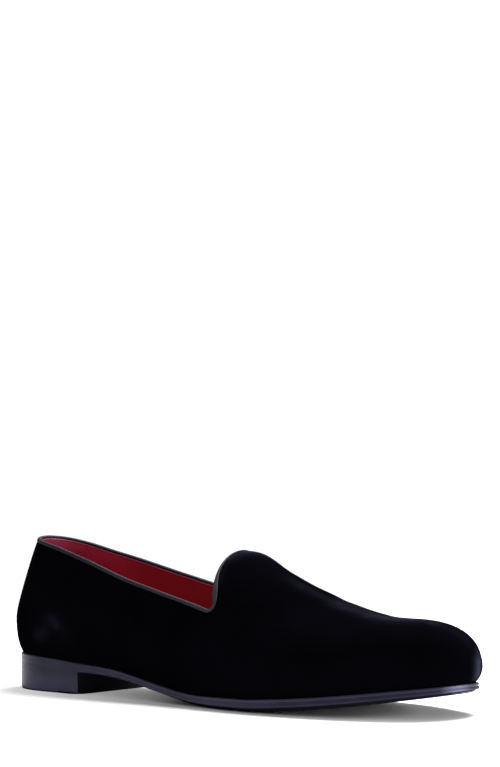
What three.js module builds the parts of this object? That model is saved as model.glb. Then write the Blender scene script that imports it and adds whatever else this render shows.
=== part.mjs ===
// A man's velvet slipper loafer, the right shoe, in millimetres.
// +X points to the toe, +Y to the inside of the foot and +Z up.
// The last, the form that the shoe is built on, is worked out from a few sizes and short tables.
// The upper, its bound topline, the insole, the outsole and the heel all follow it.
import * as THREE from 'three';

// Sizes of the last, along the feather line, where the upper meets the sole
const LAST_LENGTH = 297;
const BALL_WIDTH = 91;
const HEEL_ARC = 31;
const TOE_ARC = 32.5;
const INSTEP_HEIGHT = 80;
const SWELL = 4.5;

// Sizes of the opening, from the back of the last and from the floor
const THROAT_REACH = 162;
const BACK_HEIGHT = 88.9;
const CORNER_HEIGHT = 51.5;
const CORNER_RADIUS = 3.6;
const TONGUE_LEAN = 9.8;

// Sizes of the bottom
const HEEL_LIFT = 15.5;
const TOE_SPRING = 12.3;
const SOLE_THICKNESS = 6.6;
const SOLE_LEDGE = 2.6;
const HEEL_LENGTH = 61.3;
const HEEL_TAPER = 0.2;
const EDGE_BEVEL = 0.9;
const EDGE_ROUND = 0.35;
const EDGE_GROOVE = 0.4;

// Walls, and the clearance between pieces that meet on a curve
const WALL = 2;
const RIM_WALL = 1.2;
const INSOLE_THICKNESS = 3;
const BINDING_THICKNESS = 0.7;
const BINDING_OUTSIDE = 2.3;
const BINDING_INSIDE = 2;
const CLEARANCE = 0.3;

// The feather line's half widths between its two end arcs, as shares of BALL_WIDTH. In every table
// along is a share of LAST_LENGTH, and outer and inner are the two sides of the foot.
const WIDTHS = [
  { along: 0.10, outer: 0.322, inner: 0.322 },
  { along: 0.20, outer: 0.344, inner: 0.307 },
  { along: 0.30, outer: 0.356, inner: 0.270 },
  { along: 0.41, outer: 0.398, inner: 0.278 },
  { along: 0.51, outer: 0.456, inner: 0.342 },
  { along: 0.61, outer: 0.513, inner: 0.424 },
  { along: 0.69, outer: 0.525, inner: 0.472 },
  { along: 0.75, outer: 0.506, inner: 0.481 },
  { along: 0.81, outer: 0.468, inner: 0.463 },
  { along: 0.87, outer: 0.406, inner: 0.411 },
  { along: 0.95, outer: 0.275, inner: 0.285 },
];

// How far each side swells past the feather line, as a share of SWELL, how high its fullest line
// lies above the feather line, as a share of INSTEP_HEIGHT, and how far the ridge's axis lies to
// the inside, as a share of BALL_WIDTH
const SWELLS = [
  { along: 0.00, outer: 0.90, inner: 0.90, height: 0.25, axis: 0 },
  { along: 0.10, outer: 0.88, inner: 0.86, height: 0.28, axis: 0 },
  { along: 0.20, outer: 0.92, inner: 1.10, height: 0.285, axis: 0 },
  { along: 0.30, outer: 1.00, inner: 1.33, height: 0.28, axis: 0.011 },
  { along: 0.41, outer: 0.73, inner: 1.33, height: 0.26, axis: 0.022 },
  { along: 0.51, outer: 0.56, inner: 1.11, height: 0.20, axis: 0.034 },
  { along: 0.61, outer: 0.56, inner: 0.89, height: 0.20, axis: 0.043 },
  { along: 0.70, outer: 0.56, inner: 0.67, height: 0.19, axis: 0.052 },
  { along: 0.80, outer: 0.67, inner: 0.67, height: 0.19, axis: 0.057 },
  { along: 0.88, outer: 0.78, inner: 0.78, height: 0.21, axis: 0.059 },
  { along: 1.00, outer: 0.78, inner: 0.78, height: 0.11, axis: 0.059 },
];

// The arc of each side from its fullest line over to the ridge: how upright it starts and how
// flat it ends, as shares of its height and its reach
const ARCHES = [
  { along: 0.00, outerUpright: 0.06, innerUpright: 0.06, outerFlat: 0.26, innerFlat: 0.26 },
  { along: 0.05, outerUpright: 0.15, innerUpright: 0.08, outerFlat: 0.28, innerFlat: 0.27 },
  { along: 0.10, outerUpright: 0.19, innerUpright: 0.18, outerFlat: 0.31, innerFlat: 0.29 },
  { along: 0.20, outerUpright: 0.28, innerUpright: 0.23, outerFlat: 0.36, innerFlat: 0.32 },
  { along: 0.30, outerUpright: 0.38, innerUpright: 0.30, outerFlat: 0.42, innerFlat: 0.38 },
  { along: 0.41, outerUpright: 0.44, innerUpright: 0.42, outerFlat: 0.50, innerFlat: 0.47 },
  { along: 0.51, outerUpright: 0.46, innerUpright: 0.46, outerFlat: 0.58, innerFlat: 0.57 },
  { along: 0.61, outerUpright: 0.46, innerUpright: 0.46, outerFlat: 0.55, innerFlat: 0.55 },
  { along: 0.70, outerUpright: 0.48, innerUpright: 0.48, outerFlat: 0.53, innerFlat: 0.53 },
  { along: 0.80, outerUpright: 0.52, innerUpright: 0.54, outerFlat: 0.52, innerFlat: 0.52 },
  { along: 1.00, outerUpright: 0.65, innerUpright: 0.65, outerFlat: 0.62, innerFlat: 0.62 },
];

// The ridge's height over the feather line, as a share of INSTEP_HEIGHT. Behind the throat it is the
// top of the cone that would close over the ankle, which the opening leaves away.
const RIDGE = [
  { along: 0.105, rise: 1.42 },
  { along: 0.24, rise: 1.265 },
  { along: 0.34, rise: 1.185 },
  { along: 0.42, rise: 1.08 },
  { along: 0.51, rise: 0.962 },
  { along: 0.55, rise: 0.939 },
  { along: 0.59, rise: 0.848 },
  { along: 0.63, rise: 0.771 },
  { along: 0.68, rise: 0.686 },
  { along: 0.74, rise: 0.587 },
  { along: 0.80, rise: 0.509 },
  { along: 0.85, rise: 0.466 },
  { along: 0.90, rise: 0.440 },
];

// The topline's fall from BACK_HEIGHT to CORNER_HEIGHT on each side. Here along is a share of THROAT_REACH.
const TOPLINE = [
  { along: 0.05, outer: 0, inner: 0 },
  { along: 0.19, outer: 0.11, inner: 0.18 },
  { along: 0.38, outer: 0.32, inner: 0.365 },
  { along: 0.58, outer: 0.575, inner: 0.57 },
  { along: 0.79, outer: 0.795, inner: 0.785 },
  { along: 1.00, outer: 1, inner: 1 },
];

// The outsole: its lift at the heel and its spring at the toe as shares of HEEL_LIFT and TOE_SPRING,
// its thickness and its ledge past the feather line. The stretch with no lift and no spring is flat.
const OUTSOLE = [
  { along: -0.02, lift: 1.05, spring: 0, thick: 0.74, ledge: 0.37 },
  { along: 0.10, lift: 0.99, spring: 0, thick: 0.72, ledge: 0.35 },
  { along: 0.21, lift: 0.855, spring: 0, thick: 0.70, ledge: 0.55 },
  { along: 0.31, lift: 0.68, spring: 0, thick: 0.70, ledge: 0.70 },
  { along: 0.41, lift: 0.34, spring: 0, thick: 0.72, ledge: 0.9 },
  { along: 0.51, lift: 0.055, spring: 0, thick: 0.82, ledge: 1 },
  { along: 0.58, lift: 0, spring: 0, thick: 0.95, ledge: 1 },
  { along: 0.64, lift: 0, spring: 0, thick: 1, ledge: 1 },
  { along: 0.70, lift: 0, spring: 0.09, thick: 1, ledge: 1 },
  { along: 0.78, lift: 0, spring: 0.26, thick: 1, ledge: 1 },
  { along: 0.86, lift: 0, spring: 0.48, thick: 0.97, ledge: 0.96 },
  { along: 0.94, lift: 0, spring: 0.76, thick: 0.88, ledge: 0.85 },
  { along: 1.01, lift: 0, spring: 1, thick: 0.75, ledge: 0.8 },
];

// Shares that shape the low arc of a section, the tips of the end arcs and the groove in the edge
const LOW_FILL_SHARE = 0.75;
const LOW_START_SHARE = 0.2;
const LOW_END_SHARE = 0.6;
const HEEL_CORNER_SHARE = 0.6;
const TOE_CORNER_SHARE = 0.6;
const GROOVE_SHARE = 0.68;
const RIM_BAND = 4;
const LEAN_BEND = 3;

// Steps of the upper's grid and of the sole's outline
const HEEL_STEPS = 7;
const QUARTER_STEPS = 16;
const VAMP_STEPS = 16;
const TOE_STEPS = 8;
const LOW_ROWS = 3;
const QUARTER_ROWS = 5;
const VAMP_ROWS = 9;
const SOLE_STEPS = 26;
const SEAT_STEPS = 4;

const { lerp, clamp } = THREE.MathUtils;

// A smooth line through one column of a table. Between two rows with the same value it stays level.
function through(rows, name, length = LAST_LENGTH) {
  const x = rows.map((row) => row.along * length);
  const y = rows.map((row) => row[name]);
  const last = x.length - 1;
  const rise = y.slice(1).map((value, i) => (value - y[i]) / (x[i + 1] - x[i]));
  const slope = y.map((_, i) => {
    if (i === 0) return rise[0];
    if (i === last) return rise[last - 1];
    const before = x[i] - x[i - 1];
    const after = x[i + 1] - x[i];
    const mean = (rise[i - 1] * after + rise[i] * before) / (before + after);
    const most = 3 * Math.min(Math.abs(rise[i - 1]), Math.abs(rise[i]));
    return clamp(mean, -most, most);
  });
  return (at) => {
    const place = clamp(at, x[0], x[last]);
    let k = 0;
    while (k < last - 1 && place > x[k + 1]) k += 1;
    const step = x[k + 1] - x[k];
    const u = (place - x[k]) / step;
    const v = 1 - u;
    const ends = y[k] * (1 + 2 * u) * v * v + y[k + 1] * (3 - 2 * u) * u * u;
    return ends + step * u * v * (slope[k] * v - slope[k + 1] * u);
  };
}
const bothSides = (rows, outer, inner, length) => ({
  '-1': through(rows, outer, length),
  1: through(rows, inner, length),
});
const widths = bothSides(WIDTHS, 'outer', 'inner');
const swells = bothSides(SWELLS, 'outer', 'inner');
const uprights = bothSides(ARCHES, 'outerUpright', 'innerUpright');
const flats = bothSides(ARCHES, 'outerFlat', 'innerFlat');
const swellHeight = through(SWELLS, 'height');
const axisShift = through(SWELLS, 'axis');
const ridgeRise = through(RIDGE, 'rise');
const rimFall = bothSides(TOPLINE, 'outer', 'inner', THROAT_REACH);
const lift = through(OUTSOLE, 'lift');
const spring = through(OUTSOLE, 'spring');
const thick = through(OUTSOLE, 'thick');
const ledge = through(OUTSOLE, 'ledge');

// Heights of the outsole's faces, the feather line and the ridge, at a distance along the last
const underside = (x) => lift(x) * HEEL_LIFT + spring(x) * TOE_SPRING;
const soleTop = (x) => underside(x) + thick(x) * SOLE_THICKNESS;
const featherHeight = (x) => soleTop(x) + CLEARANCE;
const ridgeHeight = (x) => featherHeight(x) + ridgeRise(x) * INSTEP_HEIGHT;

// The feather line in plan, on one side: an arc round the heel, the table of widths and an arc round
// the toe. A turn runs from 0 at the back, over 1 and 2 where the arcs end, to 3 at the tip. Side is
// -1 on the outside of the foot and 1 on the inside.
const toeStart = LAST_LENGTH - TOE_ARC;
const toeAxis = new THREE.Vector2(toeStart, axisShift(toeStart) * BALL_WIDTH);
const heelAxis = new THREE.Vector2(HEEL_ARC, 0);
const halfWidth = (x, side) => side * widths[side](x) * BALL_WIDTH;
function endArc(x, side, tip, squareness) {
  const start = new THREE.Vector2(x, halfWidth(x, side));
  const toMiddle = Math.sign(LAST_LENGTH / 2 - x);
  const slope = (halfWidth(x + toMiddle, side) - start.y) / toMiddle;
  const reach = (tip.x - x) * squareness;
  const first = new THREE.Vector2(x + reach, start.y + reach * slope);
  const second = new THREE.Vector2(tip.x, lerp(tip.y, start.y, squareness));
  return new THREE.CubicBezierCurve(start, first, second, tip);
}
const sideArcs = (side) => ({
  heel: endArc(HEEL_ARC, side, new THREE.Vector2(0, 0), HEEL_CORNER_SHARE),
  toe: endArc(toeStart, side, new THREE.Vector2(LAST_LENGTH, toeAxis.y), TOE_CORNER_SHARE),
});
const arcs = { '-1': sideArcs(-1), 1: sideArcs(1) };
const turnAt = (x) => 1 + (x - HEEL_ARC) / (toeStart - HEEL_ARC);
const distanceAt = (turn) => lerp(HEEL_ARC, toeStart, turn - 1);
function footAt(turn, side) {
  if (turn < 1) return arcs[side].heel.getPoint(1 - turn);
  if (turn > 2) return arcs[side].toe.getPoint(turn - 2);
  const x = distanceAt(turn);
  return new THREE.Vector2(x, halfWidth(x, side));
}
function axisAt(turn) {
  if (turn < 1) return heelAxis;
  if (turn > 2) return toeAxis;
  const x = distanceAt(turn);
  return new THREE.Vector2(x, axisShift(x) * BALL_WIDTH);
}

// One side of a section: a low arc from its foot to the fullest line, then an arc over to the ridge.
// The place along it runs from 0 at the foot, over 1 at the fullest line, to 2 on the ridge.
const ridgeSlope = ridgeHeight(toeStart) - ridgeHeight(toeStart - 1);
function section(turn, side) {
  const foot = footAt(turn, side);
  const axis = axisAt(turn);
  const out = foot.clone().sub(axis);
  const span = out.length();
  out.normalize();
  const wide = span + swells[side](foot.x) * SWELL;
  const low = featherHeight(foot.x);
  const high = ridgeHeight(axis.x);
  const full = low + swellHeight(foot.x) * INSTEP_HEIGHT;
  const point = (reach, z) => new THREE.Vector3(axis.x + out.x * reach, axis.y + out.y * reach, z);
  const lower = new THREE.CubicBezierCurve3(
    point(span, low),
    point(lerp(span, wide, LOW_FILL_SHARE), lerp(low, full, LOW_START_SHARE)),
    point(wide, lerp(low, full, LOW_END_SHARE)),
    point(wide, full),
  );
  const flat = wide * flats[side](foot.x);
  const tilt = turn > 2 ? ridgeSlope * out.x * flat : 0;
  const upper = new THREE.CubicBezierCurve3(
    point(wide, full),
    point(wide, lerp(full, high, uprights[side](foot.x))),
    point(flat, high + tilt),
    point(0, high),
  );
  return (place) => (place <= 1 ? lower.getPoint(place) : upper.getPoint(place - 1));
}

// The place where a section reaches the height that level gives for its own distance along
function placeAt(line, level) {
  let low = 1;
  let high = 2;
  for (let i = 0; i < 40; i += 1) {
    const middle = (low + high) / 2;
    const point = line(middle);
    if (point.z < level(point.x)) low = middle;
    else high = middle;
  }
  return low;
}

// The topline, and the round corner where it turns up into the edge of the tongue
const rimHeight = (x, side) => BACK_HEIGHT - rimFall[side](x) * (BACK_HEIGHT - CORNER_HEIGHT);
const CORNER_TURNS = [0, 22.5, 45, 67.5, 90].map(THREE.MathUtils.degToRad);
const cornerX = CORNER_TURNS.map((turn) => THROAT_REACH - CORNER_RADIUS * (1 - Math.sin(turn)));
const cornerLift = CORNER_TURNS.map((turn) => CORNER_RADIUS * (1 - Math.cos(turn)));
const MIDDLE_STEPS = 2;

// Columns of the upper's grid, from the back of the heel to the tip of the toe
const steps = (count) => Array.from({ length: count }, (_, i) => (i + 1) / count);
const quarterTurns = [
  0,
  ...steps(HEEL_STEPS),
  ...steps(QUARTER_STEPS).map((share) => lerp(1, turnAt(cornerX[0]), share)),
  turnAt(cornerX[1]),
  turnAt(cornerX[MIDDLE_STEPS]),
];
const CORNER = quarterTurns.length - 1;
const FIRST_STEP_SHARE = 0.7;
const vampShare = (share) => share * (FIRST_STEP_SHARE + (1 - FIRST_STEP_SHARE) * share);
const turns = [
  ...quarterTurns,
  ...steps(VAMP_STEPS).map((share) => lerp(quarterTurns[CORNER], 2, vampShare(share))),
  ...steps(TOE_STEPS).map((share) => 2 + share),
];
const RIM_ROW = LOW_ROWS + QUARTER_ROWS;
const RIDGE_ROW = RIM_ROW + VAMP_ROWS;

// The grid of points on one side of the last: a column for each turn, rows up to the rim in the
// quarter and up to the ridge in the vamp
function lastGrid(side) {
  const lowPlaces = [0, ...steps(LOW_ROWS)];
  const grid = [];
  let places = [];
  for (let i = 0; i <= CORNER; i += 1) {
    const line = section(turns[i], side);
    const raise = cornerLift[Math.max(0, i - CORNER + MIDDLE_STEPS)];
    const rim = placeAt(line, (x) => rimHeight(x, side) + raise);
    const band = placeAt(line, (x) => rimHeight(x, side) + raise - RIM_BAND);
    const wallPlaces = steps(QUARTER_ROWS - 1).map((share) => lerp(1, band, share));
    places = [...lowPlaces, ...wallPlaces, rim];
    grid.push(places.map(line));
  }

  // The tongue's edge: two points of the round corner, then steps up to the ridge, leaning back
  const shifts = places.map(() => 0);
  for (let k = 1; k <= 2; k += 1) {
    const x = cornerX[MIDDLE_STEPS + k];
    const z = rimHeight(THROAT_REACH, side) + cornerLift[MIDDLE_STEPS + k];
    places.push(placeAt(section(turnAt(x), side), () => z));
    shifts.push(turnAt(x) - turns[CORNER]);
  }
  const edgeStart = places[places.length - 1];
  for (const share of steps(VAMP_ROWS - 2)) {
    places.push(lerp(edgeStart, 2, share));
    shifts.push(turnAt(THROAT_REACH - TONGUE_LEAN * (1 - (1 - share) ** LEAN_BEND)) - turns[CORNER]);
  }
  for (let j = RIM_ROW + 1; j <= RIDGE_ROW; j += 1) {
    grid[CORNER].push(section(turns[CORNER] + shifts[j], side)(places[j]));
  }

  // The vamp's columns even out ahead of the tongue's edge
  const evenPlaces = [...lowPlaces, ...steps(RIDGE_ROW - LOW_ROWS).map((share) => 1 + share)];
  for (let i = CORNER + 1; i < turns.length; i += 1) {
    const ahead = Math.min(1, (turns[i] - turns[CORNER]) / (2 - turns[CORNER]));
    const even = THREE.MathUtils.smoothstep(ahead, 0, 1);
    const column = places.map((place, j) => {
      const turn = turns[i] + shifts[j] * (1 - ahead) ** 2;
      return section(turn, side)(lerp(place, evenPlaces[j], even));
    });
    grid.push(column);
  }
  return grid;
}

// A closed skin of triangles, in which points that share a place are one vertex
class Skin {
  constructor() {
    this.points = [];
    this.faces = [];
    this.known = new Map();
  }

  point(place) {
    const key = place.toArray().map((value) => Math.round(value * 1e4)).join();
    if (!this.known.has(key)) {
      this.known.set(key, this.points.length);
      this.points.push(place);
    }
    return this.known.get(key);
  }

  face(a, b, c) {
    if (a !== b && b !== c && c !== a) this.faces.push([a, b, c]);
  }

  quad(a, b, c, d) {
    this.face(a, b, c);
    this.face(a, c, d);
  }

  geometry() {
    const geometry = new THREE.BufferGeometry().setFromPoints(this.points);
    geometry.setIndex(this.faces.flat());
    geometry.computeVertexNormals();
    return geometry;
  }
}

// The outer face of the upper, with its vertex numbers kept for each side's grid. Both sides share the
// first column, up the middle of the back.
const grids = { '-1': lastGrid(-1), 1: lastGrid(1) };
[grids[1][0]] = grids[-1];
const outerFace = new Skin();
const ids = {};
for (const side of [-1, 1]) {
  ids[side] = grids[side].map((column) => column.map((place) => outerFace.point(place)));
  for (let i = 0; i < turns.length - 1; i += 1) {
    const rows = i < CORNER ? RIM_ROW : RIDGE_ROW;
    for (let j = 0; j < rows; j += 1) {
      const corners = [ids[side][i][j], ids[side][i + 1][j], ids[side][i + 1][j + 1], ids[side][i][j + 1]];
      if (side > 0) corners.reverse();
      outerFace.quad(...corners);
    }
  }
}
const outerNormals = outerFace.geometry().getAttribute('normal');
const normalAt = (id) => new THREE.Vector3().fromBufferAttribute(outerNormals, id);

// The edge of the opening, once round from the back of the heel: along the outside, over the tongue
// and back along the inside. down points from the edge into the wall.
function openingEdge() {
  const edge = [];
  const add = (side, i, j, ni, nj) => {
    const place = grids[side][i][j];
    const down = grids[side][ni][nj].clone().sub(place).normalize();
    edge.push({ place, id: ids[side][i][j], down });
  };
  const alongSide = (side, i) => add(side, i, RIM_ROW, i < CORNER ? i : i + 1, RIM_ROW - 1);
  for (let i = 0; i <= CORNER; i += 1) alongSide(-1, i);
  for (let j = RIM_ROW + 1; j <= RIDGE_ROW; j += 1) add(-1, CORNER, j, CORNER + 1, j);
  for (let j = RIDGE_ROW - 1; j > RIM_ROW; j -= 1) add(1, CORNER, j, CORNER + 1, j);
  for (let i = CORNER; i > 0; i -= 1) alongSide(1, i);
  return edge;
}
const opening = openingEdge();

// The upper: the outer face, an inner face one wall inside it, and the rims that join them. The wall
// is thinned to RIM_WALL at the opening, half from each face, where the binding wraps it.
function makeUpper() {
  const rimIds = new Set(opening.map((entry) => entry.id));
  const footIds = new Set([...ids[-1], ...ids[1]].map((column) => column[0]));
  const skin = new Skin();
  const pairs = outerFace.points.map((place, id) => {
    const inward = normalAt(id).negate();
    if (footIds.has(id)) inward.setZ(0).normalize();
    const thin = rimIds.has(id) ? (WALL - RIM_WALL) / 2 : 0;
    const outer = place.clone().addScaledVector(inward, thin);
    const inner = place.clone().addScaledVector(inward, WALL - thin);
    return [skin.point(outer), skin.point(inner)];
  });
  const open = new Map();
  for (const [a, b, c] of outerFace.faces) {
    skin.face(pairs[a][0], pairs[b][0], pairs[c][0]);
    skin.face(pairs[c][1], pairs[b][1], pairs[a][1]);
    for (const [from, to] of [[a, b], [b, c], [c, a]]) {
      if (!open.delete(`${to} ${from}`)) open.set(`${from} ${to}`, [from, to]);
    }
  }
  for (const [from, to] of open.values()) {
    skin.quad(pairs[to][0], pairs[from][0], pairs[from][1], pairs[to][1]);
  }
  return skin.geometry();
}

// The binding: a folded strip round the edge of the opening, one leg outside and one inside
function makeBinding() {
  const half = RIM_WALL / 2;
  const flare = (WALL - RIM_WALL) / 2 / RIM_BAND;
  const outside = half + flare * BINDING_OUTSIDE + CLEARANCE;
  const inside = half + flare * BINDING_INSIDE + CLEARANCE;
  const fold = half + CLEARANCE;
  const full = fold + BINDING_THICKNESS;
  const crown = (CLEARANCE + BINDING_THICKNESS) * Math.SQRT1_2;
  const outline = [
    [outside, BINDING_OUTSIDE],
    [outside + BINDING_THICKNESS, BINDING_OUTSIDE],
    [full, 0],
    [full * Math.SQRT1_2, -crown],
    [0, -CLEARANCE - BINDING_THICKNESS],
    [-full * Math.SQRT1_2, -crown],
    [-full, 0],
    [-inside - BINDING_THICKNESS, BINDING_INSIDE],
    [-inside, BINDING_INSIDE],
    [-fold, -CLEARANCE / 2],
    [0, -CLEARANCE],
    [fold, -CLEARANCE / 2],
  ];
  const skin = new Skin();
  const count = opening.length;
  const rings = opening.map(({ place, id, down }, k) => {
    const before = opening[(k + count - 1) % count].place;
    const after = opening[(k + 1) % count].place;
    const along = after.clone().sub(before).normalize();
    const normal = normalAt(id);
    normal.addScaledVector(along, -normal.dot(along)).normalize();
    const depth = down.clone().addScaledVector(along, -down.dot(along));
    depth.addScaledVector(normal, -depth.dot(normal) / 2).normalize();
    const middle = place.clone().addScaledVector(normal, -WALL / 2);
    const at = ([out, deep]) => middle.clone().addScaledVector(normal, out).addScaledVector(depth, deep);
    return outline.map((pair) => skin.point(at(pair)));
  });
  rings.forEach((ring, k) => {
    const next = rings[(k + 1) % count];
    ring.forEach((corner, m) => {
      const n = (m + 1) % ring.length;
      skin.quad(corner, next[m], next[n], ring[n]);
    });
  });
  return skin.geometry();
}

// A chain of plan points along one side, a distance outside the feather line
function chain(chainTurns, side, distance) {
  const nudge = 0.001;
  return chainTurns.map((turn) => {
    const foot = footAt(turn, side);
    const before = footAt(Math.max(0, turn - nudge), side);
    const after = footAt(Math.min(3, turn + nudge), side);
    const along = after.sub(before).normalize();
    const out = new THREE.Vector2(along.y, -along.x).multiplyScalar(-side);
    if (turn === 0) out.set(-1, 0);
    if (turn === 3) out.set(1, 0);
    return foot.addScaledVector(out, distance(foot.x));
  });
}
const soleTurns = [
  0,
  ...steps(HEEL_STEPS + 1),
  ...steps(SOLE_STEPS).map((share) => 1 + share),
  ...steps(TOE_STEPS + 1).map((share) => 2 + share),
];
const heelTurns = [
  0,
  ...steps(HEEL_STEPS + 1),
  ...steps(SEAT_STEPS).map((share) => lerp(1, turnAt(HEEL_LENGTH), share)),
];

// A solid between rings, from the lowest to the highest. Each ring has a chain of points along each
// side, from the back to the front. The chains share their first point, and their last one too
// where the front is round; otherwise a straight front joins them.
function stack(rings) {
  const skin = new Skin();
  const levels = rings.map((ring) => ring.map((points) => points.map((place) => skin.point(place))));
  const front = levels[0][0].length - 1;
  for (let k = 0; k < levels.length - 1; k += 1) {
    const [outer, inner] = levels[k];
    const [outerUp, innerUp] = levels[k + 1];
    for (let i = 0; i < front; i += 1) {
      skin.quad(outer[i], outer[i + 1], outerUp[i + 1], outerUp[i]);
      skin.quad(inner[i + 1], inner[i], innerUp[i], innerUp[i + 1]);
    }
    skin.quad(outer[front], inner[front], innerUp[front], outerUp[front]);
  }
  const [outer, inner] = levels[0];
  const [outerTop, innerTop] = levels[levels.length - 1];
  for (let i = 0; i < front; i += 1) {
    skin.quad(outer[i], inner[i], inner[i + 1], outer[i + 1]);
    skin.quad(outerTop[i], outerTop[i + 1], innerTop[i + 1], innerTop[i]);
  }
  return skin.geometry();
}
const ringAt = (chainTurns, distance, height, frontX) => [-1, 1].map((side) => {
  const points = chain(chainTurns, side, distance);
  if (frontX) points[points.length - 1].setX(frontX);
  return points.map((place) => new THREE.Vector3(place.x, place.y, height(place.x)));
});

// The outsole, with a bevel at each rim, a full edge and a groove round it under the welt line
const soleLedge = (x) => ledge(x) * SOLE_LEDGE;
function makeOutsole() {
  const edgeHeight = (share, extra) => (x) => underside(x) + share * thick(x) * SOLE_THICKNESS + extra;
  const levels = [
    { out: -EDGE_BEVEL, share: 0, extra: 0 },
    { out: 0, share: 0, extra: EDGE_BEVEL },
    { out: EDGE_ROUND, share: GROOVE_SHARE / 2, extra: 0 },
    { out: 0, share: GROOVE_SHARE, extra: -EDGE_GROOVE },
    { out: -EDGE_GROOVE, share: GROOVE_SHARE, extra: 0 },
    { out: 0, share: GROOVE_SHARE, extra: EDGE_GROOVE },
    { out: 0, share: 1, extra: -EDGE_BEVEL / 2 },
    { out: -EDGE_BEVEL / 2, share: 1, extra: 0 },
  ];
  return stack(levels.map(({ out, share, extra }) => (
    ringAt(soleTurns, (x) => soleLedge(x) + out, edgeHeight(share, extra))
  )));
}

// The heel block under the seat, with a straight front and a slight taper to the floor
function makeHeel() {
  const seat = (drop) => (x) => underside(x) - CLEARANCE - drop;
  const levels = [
    { out: -HEEL_TAPER - EDGE_BEVEL / 2, height: () => 0 },
    { out: -HEEL_TAPER, height: () => EDGE_BEVEL / 2 },
    { out: 0, height: seat(EDGE_BEVEL / 2) },
    { out: -EDGE_BEVEL / 2, height: seat(0) },
  ];
  return stack(levels.map(({ out, height }) => (
    ringAt(heelTurns, (x) => soleLedge(x) + out, height, HEEL_LENGTH)
  )));
}

// The insole, which lies on the outsole's top inside the foot of the upper
function makeInsole() {
  const inset = -WALL - 2 * CLEARANCE;
  const height = (share) => (x) => featherHeight(x) + share * INSOLE_THICKNESS;
  return stack([
    ringAt(soleTurns, () => inset, height(0)),
    ringAt(soleTurns, () => inset + CLEARANCE, height(0.5)),
    ringAt(soleTurns, () => inset + CLEARANCE, height(0.85)),
    ringAt(soleTurns, () => inset, height(1)),
  ]);
}

// The finishes: black silk velvet, a slate tape, red leather and edges stained blue black
const finish = (color, roughness) => new THREE.MeshStandardMaterial({ color, roughness, metalness: 0 });
const velvet = finish(0x08070b, 0.95);
const tape = finish(0x35353f, 0.6);
const sockLeather = finish(0x6e0f1c, 0.55);
const soleLeather = finish(0x2c2b3a, 0.45);
const heelLeather = finish(0x3a3a50, 0.4);

// The shoe, moved so that the middle of its box stands over the origin
const shoe = new THREE.Group();
const pieces = [
  ['upper', makeUpper(), velvet],
  ['topline_binding', makeBinding(), tape],
  ['insole', makeInsole(), sockLeather],
  ['outsole', makeOutsole(), soleLeather],
  ['heel', makeHeel(), heelLeather],
];
for (const [name, geometry, material] of pieces) {
  const mesh = new THREE.Mesh(geometry, material);
  mesh.name = name;
  shoe.add(mesh);
}
const middle = new THREE.Box3().setFromObject(shoe).getCenter(new THREE.Vector3());
shoe.position.set(-middle.x, -middle.y, 0);

const model = new THREE.Group();
model.add(shoe);
export default model;
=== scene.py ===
# A man's velvet slipper loafer, the right shoe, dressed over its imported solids.
# Blender's units are metres. +X points to the toe, +Y to the inside of the foot and +Z up.
import math

import bmesh
import bpy
import numpy as np
from mathutils import Matrix, Vector


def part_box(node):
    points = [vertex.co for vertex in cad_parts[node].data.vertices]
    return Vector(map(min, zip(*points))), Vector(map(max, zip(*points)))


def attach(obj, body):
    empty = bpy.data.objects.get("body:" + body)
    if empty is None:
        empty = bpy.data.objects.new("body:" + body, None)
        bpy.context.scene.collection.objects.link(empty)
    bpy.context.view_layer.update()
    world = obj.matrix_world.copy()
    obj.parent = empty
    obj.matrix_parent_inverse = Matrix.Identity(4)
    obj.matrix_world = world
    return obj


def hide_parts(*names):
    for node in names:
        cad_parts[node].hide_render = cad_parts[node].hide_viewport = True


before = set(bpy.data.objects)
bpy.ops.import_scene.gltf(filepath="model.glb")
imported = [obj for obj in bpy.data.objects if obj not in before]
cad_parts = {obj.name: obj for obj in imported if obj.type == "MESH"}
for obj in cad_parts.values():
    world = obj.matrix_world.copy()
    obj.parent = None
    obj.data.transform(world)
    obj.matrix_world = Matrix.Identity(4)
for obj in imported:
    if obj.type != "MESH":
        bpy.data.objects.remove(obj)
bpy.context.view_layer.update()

# Camera. It stands well in front of the shoe on the outer side of the toe, a little above the
# collar, and looks with a long lens and almost no tilt, as in the photograph.
MM = 0.001
CAMERA_PLACE = Vector((759.28, -993.06, 126.86)) * MM
CAMERA_TURN, CAMERA_TILT, CAMERA_ROLL = (math.radians(angle) for angle in (36.946, -2.255, 0.077))
SENSOR_WIDTH, LENS = 36, 105.03
NEAREST, FARTHEST = 0.05, 60

level = Vector((math.cos(CAMERA_TURN), math.sin(CAMERA_TURN), 0))
back = Vector((level.y * math.cos(CAMERA_TILT), -level.x * math.cos(CAMERA_TILT), math.sin(CAMERA_TILT)))
turned = Matrix((level, back.cross(level), back)).transposed() @ Matrix.Rotation(CAMERA_ROLL, 3, "Z")
camera = bpy.data.objects.new("camera", bpy.data.cameras.new("camera"))
camera.data.sensor_width = SENSOR_WIDTH
camera.data.lens = LENS
camera.data.clip_start, camera.data.clip_end = NEAREST, FARTHEST
camera.matrix_world = Matrix.Translation(CAMERA_PLACE) @ turned.to_4x4()
bpy.context.collection.objects.link(camera)
bpy.context.scene.camera = camera
bpy.context.scene.view_settings.view_transform = "Standard"


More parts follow.
